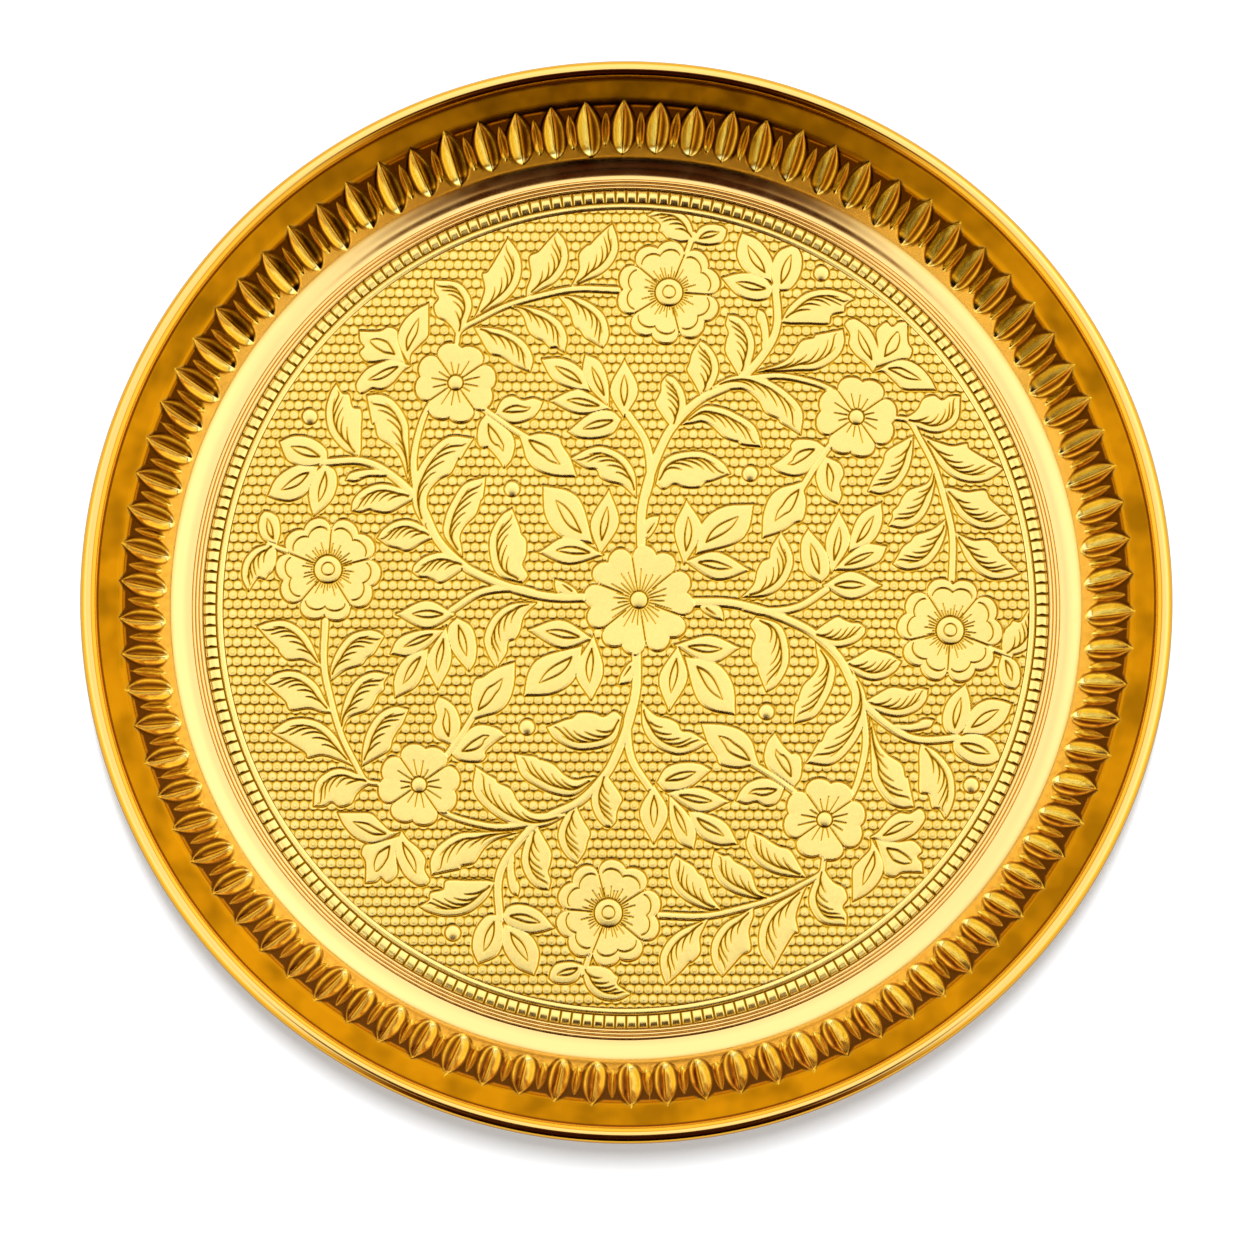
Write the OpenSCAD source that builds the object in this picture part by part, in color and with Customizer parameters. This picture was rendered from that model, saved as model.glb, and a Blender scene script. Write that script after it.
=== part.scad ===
// Round embossed thali: a fluted dish of thin sheet whose edge is rolled over a
// wire, with a stamped floor disc that a small beaded ring holds down.
// The origin is the centre of the underside, and +Z is up.

/* [Plate] */
// Outer diameter, over the rolled rim
plate_d = 305; // [298:1:312]
// Overall height, from the underside to the top of the rim
plate_h = 25.3; // [24:0.1:27]
// Thickness of the dish's sheet
sheet_t = 0.9; // [0.7:0.05:1.1]

/* [Wall] */
// Width of the wall and the rim together, seen from above
wall_w = 28.3; // [27.5:0.1:28.7]
// Radius of the cove between floor and wall, on the inside
cove_r = 6; // [5.5:0.5:6.5]
// Radius of the shoulder between wall and flare, on the inside
shoulder_r = 5; // [4.5:0.5:5.5]
// Length of the plain flare below the rim, along its slope
flare_l = 5.2; // [4.8:0.1:5.8]
// Slope of the flare
flare_angle = 22; // [20:1:24]

/* [Flutes] */
// Number of flutes round the wall
flute_n = 86; // [80:2:88]
// Turn of the first flute from the +X axis, in degrees
flute_turn = 2.5; // [0:0.5:4]
// Plain wall left at each end of a flute
flute_margin = 0.25; // [0.2:0.05:0.6]
// Width of a flute
flute_w = 5.6; // [5:0.1:5.8]
// Depth of a flute
flute_depth = 1.4; // [1.2:0.1:1.5]

/* [Rolled rim] */
// Radius of the rolled edge, on the outside
roll_r = 2.45; // [2.2:0.05:2.7]
// Radial clearance between the wire and the roll
wire_gap = 0.25; // [0.2:0.05:0.35]
// Opening of the roll, underneath, in degrees
roll_gap_angle = 40; // [30:5:60]

/* [Floor disc] */
// Floor left between the disc's edge and the cove
disc_margin = 3.2; // [3:0.1:3.8]
// Thickness of the disc's plain ground
disc_t = 0.5; // [0.4:0.05:0.6]
// Plain edge of the disc outside the row of blocks
edge_w = 1; // [0.9:0.05:1.4]
// Radial length of one block
dentil_l = 3.5; // [3:0.1:3.8]
// Number of blocks
dentil_n = 240; // [200:4:260]
// Width of the gap between two blocks
dentil_gap = 0.6; // [0.4:0.05:0.8]
// Gap between the blocks and the plain fillet inside them
fillet_gap = 0.3; // [0.25:0.05:0.8]
// Width of the fillet
fillet_w = 1.8; // [1.4:0.1:2.2]
// Height of the fillet and of the blocks over the ground
border_h = 0.4; // [0.3:0.05:0.5]

/* [Floral relief] */
// Offset of the stamped pattern from the disc's centre, to the right
shift_x = 3.4; // [2:0.1:3.6]
// Offset of the stamped pattern from the disc's centre, to the far side
shift_y = 2; // [1:0.1:2.4]
// Height of leaves and stems over the ground
leaf_h = 0.35; // [0.25:0.05:0.45]
// Height of the petals over the ground
petal_h = 0.45; // [0.4:0.05:0.6]
// Height of the flowers' bosses over the ground
boss_h = 0.8; // [0.65:0.05:1]
// Height of the round studs over the ground
stud_h = 0.6; // [0.4:0.05:0.8]
// Radius of a round stud
stud_r = 2.3; // [1.8:0.1:2.6]

/* [Beaded ring] */
// Width of the ring's foot
foot_w = 2; // [1.8:0.1:2.4]
// Clearance between the disc's edge and the ring's foot
disc_gap = 0.2; // [0.1:0.05:0.3]
// How far the ring's lip reaches in over the disc
lip_w = 0.9; // [0.7:0.05:1]
// Thickness of the lip
lip_t = 0.4; // [0.3:0.05:0.5]
// Number of fine beads on the ring
bead_n = 3; // [2:1:3]
// Radius of a bead
bead_r = 0.4; // [0.35:0.01:0.42]

/* [Hidden] */
$fn = 180;
eps = 0.01;
arc_steps = 6;
cut_over = 1;
// A flute's block: how far its rim stands off the wall, its keel's width and
// the places of its fullest frames, as shares of its width and half length
flute_rim = 0.4;
keel_share = 0.42;
station_share = 0.52;
// Length that the relief's shares are of, as a share of the radius inside the fillet
motif_share = 0.874;
quarter_n = 4;
full_turn = 360;
quarter_turn = full_turn / quarter_n;
half_turn = full_turn / 2;

brass = [0.93, 0.72, 0.25];
bright_brass = [0.97, 0.8, 0.38];

// Rolled rim: centre of the roll, and where and how deep the flare meets it
roll_x = plate_d / 2 - roll_r;
roll_z = plate_h - roll_r;
join_angle = 190;
join_lap = sheet_t / 2;
join_x = roll_x + roll_r * cos(join_angle);
join_z = roll_z + roll_r * sin(join_angle);

// Inner face of the wall: cove, straight wall, shoulder and flare. The straight
// wall touches the cove's circle and the shoulder's circle.
cove_x = plate_d / 2 - wall_w;
cove_z = sheet_t + cove_r;
shoulder_x = join_x - flare_l * cos(flare_angle) + shoulder_r * sin(flare_angle);
shoulder_z = join_z - flare_l * sin(flare_angle) - shoulder_r * cos(flare_angle);
rise = shoulder_z - cove_z;
run = shoulder_x - cove_x;
bends = cove_r + shoulder_r;
wall_angle = atan2(rise, run) + asin(bends / norm([run, rise]));
wall_l = sqrt(run * run + rise * rise - bends * bends);
wall_mid_x = cove_x + cove_r * sin(wall_angle) + wall_l / 2 * cos(wall_angle);
wall_mid_z = cove_z - cove_r * cos(wall_angle) + wall_l / 2 * sin(wall_angle);
flute_l = wall_l - 2 * flute_margin;

// Radii and heights of the pieces that lie on the floor
disc_r = cove_x - disc_margin;
dentil_r = disc_r - edge_w;
fillet_r = dentil_r - dentil_l - fillet_gap;
motif_l = (fillet_r - fillet_w) * motif_share;
disc_z = sheet_t;
ground_z = disc_z + disc_t;
lip_top_z = ground_z + lip_t;

// Leaves and stems of one quarter: start, tip, and how far the left and the
// right edge stand off the line between them, as shares of motif_l
leaf_shares = [
    [0.128, 0.100, 0.135, 0.285, 0.031, 0.047],
    [0.160, 0.130, 0.325, 0.272, 0.050, 0.046],
    [0.130, 0.110, 0.315, 0.085, 0.039, 0.040],
    [0.290, 0.015, 0.403, 0.194, 0.008, 0.072],
    [0.048, 0.330, 0.260, 0.360, 0.079, 0.024],
    [0.010, 0.170, 0.058, 0.238, 0.012, 0.016],
    [0.515, 0.050, 0.480, 0.203, 0.040, 0.037],
    [0.545, 0.075, 0.568, 0.255, 0.027, 0.042],
    [0.595, 0.137, 0.688, 0.278, 0.039, 0.042],
    [0.550, 0.085, 0.703, 0.153, 0.029, 0.032],
    [0.520, 0.042, 0.688, 0.041, 0.040, 0.040],
    [0.103, 0.500, 0.080, 0.642, 0.043, 0.044],
    [0.175, 0.585, 0.175, 0.742, 0.035, 0.052],
    [0.285, 0.640, 0.254, 0.816, 0.024, 0.062],
    [0.365, 0.710, 0.337, 0.830, 0.010, 0.016],
    [0.120, 0.500, 0.350, 0.436, 0.079, -0.008],
    [0.200, 0.605, 0.460, 0.470, 0.098, -0.020],
    [0.330, 0.652, 0.583, 0.775, 0.020, 0.068],
    [0.405, 0.795, 0.617, 0.862, 0.059, 0.039],
    [0.385, 0.895, 0.237, 0.922, 0.050, 0.028],
    [0.380, 0.910, 0.295, 1.054, 0.046, 0.038],
    [0.395, 0.885, 0.450, 1.022, 0.036, 0.042],
    [0.155, 1.030, 0.023, 1.105, 0.028, 0.054],
    [0.155, 1.026, 0.252, 1.062, 0.029, 0.025],
    [0.668, 0.660, 0.598, 0.803, 0.030, 0.050],
    [0.675, 0.675, 0.768, 0.798, 0.048, 0.055],
    [0.670, 0.652, 0.848, 0.600, 0.060, 0.022],
    [0.750, 0.518, 0.916, 0.583, 0.034, 0.066],
    [0.805, 0.470, 1.037, 0.375, 0.029, 0.070],
    [0.865, 0.320, 1.058, 0.233, 0.038, 0.068],
    [0.895, 0.195, 1.080, 0.076, 0.033, 0.060],
    [0.780, 0.470, 0.650, 0.310, 0.058, 0.028],
    [0.840, 0.380, 0.707, 0.212, 0.059, 0.024],
    [0.870, 0.230, 0.720, 0.103, 0.062, 0.026],
    [0.880, 0.240, 0.887, 0.055, 0.010, 0.012],
    [0.530, 0.435, 0.375, 0.383, 0.049, 0.042],
    [0.530, 0.410, 0.566, 0.273, 0.034, 0.042],
    [0.485, 0.345, 0.350, 0.176, 0.044, 0.052],
];
stem_shares = [
    [0.003, 0.140, 0.075, 0.440, 0.039, -0.007],
    [0.040, 0.360, 0.280, 0.635, 0.049, -0.015],
    [0.240, 0.610, 0.395, 0.820, -0.011, 0.046],
    [0.390, 0.780, 0.395, 0.910, 0.012, 0.014],
    [0.028, 0.310, -0.030, 0.535, -0.011, 0.040],
    [0.300, 0.628, 0.580, 0.585, 0.044, -0.023],
    [0.725, 0.520, 0.840, 0.380, 0.036, -0.008],
    [0.810, 0.440, 0.885, 0.200, 0.030, -0.001],
    [0.555, 0.460, 0.465, 0.315, 0.013, 0.013],
    [0.135, 0.990, 0.157, 1.050, 0.012, 0.012],
];
stud_shares = [
    [0.316, 0.360],
    [0.522, 0.936],
];
// Flowers: place, outer radius and boss radius, as shares of motif_l, then the
// number of heart-shaped petals and the direction of the first
centre_flower_shares = [0, 0, 0.157, 0.024];
small_flower_shares = [0.619, 0.522, 0.117, 0.021];
large_flower_shares = [0.086, 0.880, 0.150, 0.039];
centre_petals = 6;
small_petals = 4;
large_petals = 5;
centre_turn = 9;
small_turn = 80;
large_turn = 32;
// A petal's lobe: its radius as a share of the flower's, the angle between the
// petal's middle and its lobe as a share of the petal's own angle, and the core
lobe_share = 0.3;
lobe_turn_share = 0.24;
core_share = 0.78;

// Points along an arc, from one angle to another
function arc_points(x, z, r, from, to) =
    [for (i = [0 : arc_steps])
        let (a = from + (to - from) * i / arc_steps)
        [x + r * cos(a), z + r * sin(a)]];

// One face of the wall, from the floor to the rim: offset 0 is the inner face
function wall_face(offset) = concat(
    arc_points(cove_x, cove_z, cove_r + offset, -quarter_turn, wall_angle - quarter_turn),
    arc_points(shoulder_x, shoulder_z, shoulder_r - offset,
        wall_angle + quarter_turn, flare_angle + quarter_turn));

// Solid of revolution inside one face of the wall, from the given height up
module filled_dish(offset, floor_z) {
    top_x = join_x + join_lap * cos(flare_angle) + offset * sin(flare_angle);
    top_z = join_z + join_lap * sin(flare_angle) - offset * cos(flare_angle);
    rotate_extrude()
        polygon(concat(
            [[0, floor_z]],
            wall_face(offset),
            [[top_x, top_z], [0, top_z]]));
}

// Boat-shaped block with pointed ends, X along it: its rim stands flute_rim
// above the wall, and its keel lies depth below
module flute(length, width, depth) {
    spread = 1 + flute_rim / (2 * depth);
    tip = [length / 2 * spread, 0, flute_rim];
    stations = [
        for (share = [-station_share, 0, station_share])
            let (fullness = 1 - share * share, x = share * length / 2,
                rim_y = width / 2 * fullness * spread,
                keel_y = rim_y * keel_share, keel_z = -depth * fullness)
            each [[x, rim_y, flute_rim], [x, keel_y, keel_z],
                [x, -keel_y, keel_z], [x, -rim_y, flute_rim]],
    ];
    sides = [
        for (bay = [0, 4], k = [1 : 3])
            each [[bay + k, bay + k + 1, bay + k + 4], [bay + k + 1, bay + k + 5, bay + k + 4]],
    ];
    ends = [for (k = [1 : 3]) each [[0, k + 1, k], [k + 8, k + 9, 13]]];
    polyhedron(
        concat([[-tip[0], 0, flute_rim]], stations, [tip]),
        concat(sides, ends, [[0, 1, 5, 9, 13, 12, 8, 4]]));
}

// All flutes, set back from the inner face of the wall by offset
module flutes(offset) {
    for (i = [0 : flute_n - 1])
        rotate(flute_turn + i * full_turn / flute_n)
            translate([wall_mid_x, 0, wall_mid_z])
                rotate([0, -wall_angle, 0])
                    translate([0, 0, -offset])
                        flute(flute_l, flute_w, flute_depth);
}

// The rolled edge, open underneath by roll_gap_angle
module roll_section() {
    mouth_from = half_turn + quarter_turn - roll_gap_angle / 2;
    reach = roll_r + cut_over;
    translate([roll_x, roll_z])
        difference() {
            circle(roll_r);
            circle(roll_r - sheet_t);
            polygon([
                [0, 0],
                [reach * cos(mouth_from), reach * sin(mouth_from)],
                [reach * cos(mouth_from + roll_gap_angle), reach * sin(mouth_from + roll_gap_angle)],
            ]);
        }
}

module dish_shell() {
    color(brass)
        union() {
            difference() {
                union() {
                    filled_dish(sheet_t, 0);
                    flutes(sheet_t);
                }
                filled_dish(0, sheet_t);
                flutes(0);
            }
            rotate_extrude() roll_section();
        }
}

module rim_wire() {
    color(bright_brass)
        rotate_extrude()
            translate([roll_x, roll_z])
                circle(roll_r - sheet_t - wire_gap);
}

// Disc whose edge rises by bulge over a chord from the origin along +X
module bulge_disc(chord, bulge) {
    half = chord / 2;
    r = (half * half + bulge * bulge) / (2 * bulge);
    translate([half, bulge - r])
        circle(r);
}

// Leaf or stem between two arcs over one chord; a negative bulge bends inward
module blade(chord, left, right) {
    if (left > 0 && right > 0) {
        intersection() {
            bulge_disc(chord, left);
            mirror([0, 1]) bulge_disc(chord, right);
        }
    } else if (right <= 0) {
        difference() {
            bulge_disc(chord, left);
            bulge_disc(chord, -right);
        }
    } else {
        mirror([0, 1])
            difference() {
                bulge_disc(chord, right);
                bulge_disc(chord, -left);
            }
    }
}

module placed_blade(shares) {
    chord = [shares[2] - shares[0], shares[3] - shares[1]] * motif_l;
    translate([shares[0] * motif_l, shares[1] * motif_l])
        rotate(atan2(chord[1], chord[0]))
            blade(norm(chord), shares[4] * motif_l, shares[5] * motif_l);
}

// Flat outline of a flower with heart-shaped petals
module flower_outline(r, petals, first_turn) {
    lobe_r = r * lobe_share;
    petal_turn = full_turn / petals;
    union() {
        circle(r * core_share);
        for (i = [0 : petals - 1], side = [-1, 1])
            rotate(first_turn + petal_turn * (i + side * lobe_turn_share))
                translate([r - lobe_r, 0])
                    circle(lobe_r);
    }
}

module flower(shares, petals, first_turn) {
    translate([shares[0] * motif_l, shares[1] * motif_l, ground_z - eps]) {
        linear_extrude(petal_h + eps)
            flower_outline(shares[2] * motif_l, petals, first_turn);
        cylinder(h = boss_h + eps, r = shares[3] * motif_l);
    }
}

module relief_quarter() {
    translate([0, 0, ground_z - eps]) {
        for (shares = leaf_shares)
            linear_extrude(leaf_h + eps) placed_blade(shares);
        for (shares = stem_shares)
            linear_extrude(leaf_h + 2 * eps) placed_blade(shares);
        for (shares = stud_shares)
            translate([shares[0] * motif_l, shares[1] * motif_l])
                cylinder(h = stud_h + eps, r = stud_r);
    }
    flower(small_flower_shares, small_petals, small_turn);
    flower(large_flower_shares, large_petals, large_turn);
}

// Flat disc with its raised plain fillet
module disc_blank() {
    translate([0, 0, disc_z])
        cylinder(h = disc_t, r = disc_r);
    translate([0, 0, ground_z - eps])
        linear_extrude(border_h + eps)
            difference() {
                circle(fillet_r);
                circle(fillet_r - fillet_w);
            }
}

module dentils() {
    dentil_w = PI * (2 * dentil_r - dentil_l) / dentil_n - dentil_gap;
    for (i = [0 : dentil_n - 1])
        rotate(i * full_turn / dentil_n)
            translate([dentil_r - dentil_l, -dentil_w / 2, ground_z - eps])
                cube([dentil_l, dentil_w, border_h + eps]);
}

module embossed_medallion() {
    color(bright_brass)
        union() {
            disc_blank();
            dentils();
            translate([shift_x, shift_y]) {
                for (i = [0 : quarter_n - 1])
                    rotate(-i * quarter_turn)
                        relief_quarter();
                flower(centre_flower_shares, centre_petals, centre_turn);
            }
        }
}

// Upper half of a round bead, sunk a little into what carries it
module half_bead(r) {
    intersection() {
        circle(r);
        translate([-r, -eps])
            square([2 * r, r + eps]);
    }
}

// Ring with a foot on the dish, a lip over the disc and fine beads on top
module floor_moulding() {
    foot_x = disc_r + disc_gap;
    lip_x = disc_r - lip_w;
    out_x = foot_x + foot_w;
    land = (out_x - lip_x - 2 * bead_r * bead_n) / (bead_n + 1);
    color(brass)
        rotate_extrude()
            union() {
                polygon([
                    [lip_x, ground_z],
                    [foot_x, ground_z],
                    [foot_x, disc_z],
                    [out_x, disc_z],
                    [out_x, lip_top_z],
                    [lip_x, lip_top_z],
                ]);
                for (i = [0 : bead_n - 1])
                    translate([lip_x + (land + 2 * bead_r) * (i + 1) - bead_r, lip_top_z])
                        half_bead(bead_r);
            }
}

dish_shell();
rim_wire();
embossed_medallion();
floor_moulding();
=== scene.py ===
import math

import bpy
import numpy as np
from mathutils import Matrix, Vector


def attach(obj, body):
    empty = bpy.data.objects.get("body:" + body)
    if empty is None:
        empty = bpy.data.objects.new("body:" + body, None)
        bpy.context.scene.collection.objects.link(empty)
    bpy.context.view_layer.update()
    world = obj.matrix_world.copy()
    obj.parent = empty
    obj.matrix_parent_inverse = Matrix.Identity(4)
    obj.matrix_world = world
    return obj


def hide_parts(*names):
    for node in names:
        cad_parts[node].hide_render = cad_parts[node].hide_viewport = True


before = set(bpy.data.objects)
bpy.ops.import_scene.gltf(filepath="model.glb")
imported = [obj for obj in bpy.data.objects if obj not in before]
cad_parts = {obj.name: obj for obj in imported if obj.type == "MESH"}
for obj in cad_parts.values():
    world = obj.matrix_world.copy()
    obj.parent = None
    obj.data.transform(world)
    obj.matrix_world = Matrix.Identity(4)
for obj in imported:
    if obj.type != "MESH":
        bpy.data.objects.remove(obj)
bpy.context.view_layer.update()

# Lengths are in millimetres until a mesh is made, and angles in degrees.
MM = 0.001
FULL = 2 * math.pi

# ---- Sizes, the same as the CAD's, but for a slightly fuller cove ----
PLATE_R, PLATE_H, SHEET_T = 152.5, 25.3, 0.9
FLOOR_R, COVE_R, SHOULDER_R, FLARE_L, FLARE_A = 123.3, 8.0, 5.0, 5.2, 22.0
# The roll: its radius, the angle at which it leaves the flare, its mouth's middle and width,
# and where the sheet's edge ends inside
ROLL_R, JOIN_A, MOUTH_A, MOUTH_W, EDGE_A = 2.45, 190.0, 270.0, 40.0, 214.0
DISC_R, DISC_T = 121.0, 0.5
DISC_Z = SHEET_T
GROUND_Z = DISC_Z + DISC_T
FILLET_OUT, FILLET_IN = 116.2, 114.4
DENTIL_OUT, DENTIL_IN, DENTILS = 120.0, 116.5, 240
BORDER_H = 0.4
RING_OUT, RING_FOOT, RING_LIP, LIP_T, BEAD_R, BEADS = 123.2, 121.2, 120.1, 0.4, 0.4, 3
RING_COLS = 1440
# The stamped pattern sits a little off the plate's centre, and is a little larger than drawn
SHIFT, STRETCH = (3.6, 1.3), (1.003, 1.0097)


def polar(radius, degrees):
    """(x, y) of a point that far out in that direction; degrees may be an array."""
    a = np.radians(degrees)
    return radius * np.cos(a), radius * np.sin(a)


def bell(x, middle, width):
    """1 at the middle, falling softly to nothing about two widths from it."""
    return np.exp(-((x - middle) / width) ** 2)


# ---- Meshes ----

def make_object(name, verts, faces, material, slot, **shades):
    """A piece from points in millimetres that rides on the body; shades are 0 to 1 a point."""
    mesh = bpy.data.meshes.new(name)
    mesh.from_pydata((np.asarray(verts) * MM).tolist(), [], faces)
    for shade, values in shades.items():
        layer = mesh.attributes.new(shade, "FLOAT", "POINT")
        layer.data.foreach_set("value", np.asarray(values, np.float32))
    mesh.polygons.foreach_set("use_smooth", [True] * len(mesh.polygons))
    mesh.materials.append(material)
    mesh.update()
    piece = bpy.data.objects.new(name, mesh)
    bpy.context.scene.collection.objects.link(piece)
    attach(piece, "root")
    return piece


def grid_faces(rows, cols, closed_cols=True, closed_rows=False, start=0):
    """Quads over a grid of points that is stored row by row."""
    i = np.arange(rows if closed_rows else rows - 1)[:, None]
    j = np.arange(cols if closed_cols else cols - 1)[None, :]
    ni, nj = (i + 1) % rows, (j + 1) % cols
    quad = np.stack([i * cols + j, i * cols + nj, ni * cols + nj, ni * cols + j], -1)
    return (quad.reshape(-1, 4) + start).tolist()


def lathe(r, z, cols):
    """Points and faces of a closed section turned about Z, clockwise seen with r right and z up."""
    a = np.arange(cols) * FULL / cols
    r, z = np.asarray(r)[:, None], np.asarray(z)[:, None]
    verts = np.stack([r * np.cos(a), r * np.sin(a), z + 0 * a], -1).reshape(-1, 3)
    return verts, grid_faces(len(r), cols, closed_rows=True)


# ---- Dish ----
# Rows of points in each part of the section
FLOOR_PLACES = (0.0, 60.0, 112.0, 121.0)
COVE_ROWS, WALL_ROWS, SHOULDER_ROWS, FLARE_ROWS = 12, 45, 9, 6
ROLL_ROWS, HOLLOW_ROWS, EDGE_ROWS = 32, 14, 4


def dish_profile():
    """Rows of (r, z, outward r, outward z, place along the wall) from the floor's centre over
    the roll and back under the floor. The place is NaN where no flute can be."""
    def way(a):
        return np.array([math.cos(a), math.sin(a)])

    def side(a):
        return np.array([math.sin(a), -math.cos(a)])

    roll_x, roll_z = PLATE_R - ROLL_R, PLATE_H - ROLL_R
    jx, jz = polar(ROLL_R, JOIN_A)
    join = np.array([roll_x + jx, roll_z + jz])
    flare_a = math.radians(FLARE_A)
    cove = np.array([FLOOR_R, SHEET_T + COVE_R])
    shoulder = join - FLARE_L * way(flare_a) + SHOULDER_R * side(flare_a)
    run, rise = shoulder - cove
    bends = COVE_R + SHOULDER_R
    wall_a = math.atan2(rise, run) + math.asin(bends / math.hypot(run, rise))
    wall_l = math.sqrt(run ** 2 + rise ** 2 - bends ** 2)
    wall0 = cove + COVE_R * side(wall_a)

    # The upper face: r, z, its slope, and the place along it
    face = [(*(cove + COVE_R * side(t)), t, COVE_R * t)
            for t in np.linspace(0, wall_a, COVE_ROWS + 1)[:-1]]
    along = COVE_R * wall_a
    face += [(*(wall0 + t * way(wall_a)), wall_a, along + t)
             for t in np.linspace(0, wall_l, WALL_ROWS + 1)[:-1]]
    along += wall_l
    face += [(*(shoulder - SHOULDER_R * side(t)), t, along + SHOULDER_R * (wall_a - t))
             for t in np.linspace(wall_a, flare_a, SHOULDER_ROWS + 1)[:-1]]
    along += SHOULDER_R * (wall_a - flare_a)
    face += [(*(join - (FLARE_L - t) * way(flare_a)), flare_a, along + t)
             for t in np.linspace(0, FLARE_L, FLARE_ROWS + 1)]
    face = np.array(face)
    out = np.stack([np.sin(face[:, 2]), -np.cos(face[:, 2])], 1)
    rows = [[r, SHEET_T, 0, -1, np.nan] for r in FLOOR_PLACES]
    rows += [[p[0], p[1], o[0], o[1], p[3]] for p, o in zip(face, out)]

    # Over the roll, in at its mouth and round its inside, and out again to the wall's back
    lip0, lip1 = MOUTH_A + MOUTH_W / 2 - 360, MOUTH_A - MOUTH_W / 2
    arcs = ((ROLL_R, np.linspace(JOIN_A, lip0, ROLL_ROWS + 1)[1:]),
            (ROLL_R - SHEET_T, np.linspace(lip0, lip1, HOLLOW_ROWS + 1)),
            (ROLL_R, np.linspace(lip1, EDGE_A, EDGE_ROWS + 1)))
    for radius, angles in arcs:
        for a in angles:
            x, y = polar(radius, a)
            rows.append([roll_x + x, roll_z + y, 0, 0, np.nan])

    # The under face has half as many rows
    for p, o in zip(face[::-2], out[::-2]):
        rows.append([p[0] + SHEET_T * o[0], p[1] + SHEET_T * o[1], o[0], o[1], p[3]])
    rows += [[r, 0.0, 0, -1, np.nan] for r in (121.0, 60.0, 0.0)]
    return np.array(rows)


# Flutes of each kind, and columns of points for each pair. A kind has the place of its middle
# along the wall, half its length, its width and depth, and its turn in flutes.
FLUTES, FLUTE_TURN, COLS = 86, 2.5, 48
WIDE = dict(mid=18.0, half=9.8, width=6.0, depth=1.6, turn=0.0)
SLIM = dict(mid=17.6, half=6.6, width=2.6, depth=0.8, turn=0.5)
# How far single flutes lean and slide, and the shares by which they vary in length and width
LEAN, SLIDE, LONGER, WIDER = 0.35, 0.45, 0.05, 0.10
# A flute's blunt inner and pointed outer end, as powers; its section; the rim it raises beside
# it, as a share of the depth, with its middle and width in half widths
BLUNT, POINTED = (3.0, 0.5), (1.8, 0.9)
SECTION = 1.3
LIP, LIP_AT, LIP_W = 0.12, 1.12, 0.2
# Painted shade between the flutes: where along the wall it begins and ends beside a wide flute,
# and how much later it begins and sooner it ends beside a slim one
SHADE_FROM, SHADE_LATER, SHADE_TO, SHADE_SOONER = 9.8, 5.5, 28.3, 2.9
# How dark the painted shade is between the flutes and on its outer line, and on a flute's edge,
# crease and one flank
SHADE_BETWEEN, SHADE_LINE, EDGE_DARK, CREASE_DARK, FLANK_DARK = 0.97, 0.7, 0.8, 0.85, 0.88


def chance(number, seed):
    """A fixed value from -1 to 1 for each number."""
    wave = np.sin(number * 12.9898 + seed * 78.233) * 43758.5453
    return 2 * (wave - np.floor(wave)) - 1


def pressed(s, phi, r, kind):
    """How far a flute of one kind presses the wall out at places s and directions phi, the share
    of its half width at which a point lies, signed, and how full the flute is there."""
    pitch = FULL / FLUTES
    k = (phi - math.radians(FLUTE_TURN)) / pitch - kind["turn"]
    number = np.round(k) % FLUTES
    seed = 10 * kind["turn"]
    lean = LEAN * chance(number, seed + 1)
    mid = kind["mid"] + SLIDE * chance(number, seed + 2)
    half = kind["half"] * (1 + LONGER * chance(number, seed + 3))
    width = kind["width"] * (1 + WIDER * chance(number, seed + 4))
    t = np.clip((s - mid) / half, -1, 1)
    lateral = (k - np.round(k)) * pitch * r + lean * t
    full = np.where(t < 0, *((1 - np.abs(t) ** a) ** b for a, b in (BLUNT, POINTED)))
    u = np.abs(lateral) / np.maximum(width / 2 * full, 0.02)
    valley = np.clip(1 - u, 0, 1) ** SECTION
    return kind["depth"] * full * (valley - LIP * bell(u, LIP_AT, LIP_W)), np.copysign(u, lateral), full


def wall_shades(s, phi, wide, slim):
    """How dark and how bright the wall is painted. Painted shade: the flutes' edges, creases and one
    flank, and the wall between them, ending in a scalloped line at the shoulder. Painted
    highlights: the flutes' insides, and most of all their rims, their ends and the other flank."""
    k = (phi - math.radians(FLUTE_TURN)) / (FULL / FLUTES)
    between = np.abs(k - np.round(k)) * 2                       # 0 at a wide flute, 1 at a slim one
    # Painted shade on the wall between the flutes, ending in a scalloped line at the shoulder
    inner = SHADE_FROM + SHADE_LATER * np.clip((between - 0.5) / 0.5, 0, 1) ** 1.3
    outer = SHADE_TO - SHADE_SOONER * np.clip(between / 0.6, 0, 1) ** 0.8
    between_shade = np.clip((s - inner) / 2.0, 0, 1) * np.clip((outer - s) / 0.4, 0, 1)
    off_wide = np.clip((np.abs(wide[0]) - 0.95) / 0.16, 0, 1)
    off_slim = np.clip((np.abs(slim[0]) - 0.85) / 0.3, 0, 1)
    dark = [SHADE_BETWEEN * between_shade * off_wide * (0.3 + 0.7 * off_slim),
            SHADE_LINE * bell(s, outer, 0.35) * (between > 0.12)]
    bright = []
    for (u, full), seen in ((wide, 1.0), (slim, 0.7)):
        reach = full ** 0.5
        dark += [EDGE_DARK * reach * bell(np.abs(u), 1.03, 0.1),
                 CREASE_DARK * seen * reach * bell(u, -0.07, 0.07),
                 FLANK_DARK * seen * reach * bell(u, -0.48, 0.24)]
        inside = np.clip((0.95 - np.abs(u)) / 0.15, 0, 1)
        glints = bell(np.abs(u), 0.88, 0.07), bell(u, 0.3, 0.2), bell(full, 0.5, 0.2)
        bright.append(seen * reach ** 0.5 * inside * (0.4 + 0.6 * np.maximum.reduce(glints)))
    return np.maximum.reduce(dark), np.maximum(*bright)


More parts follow.
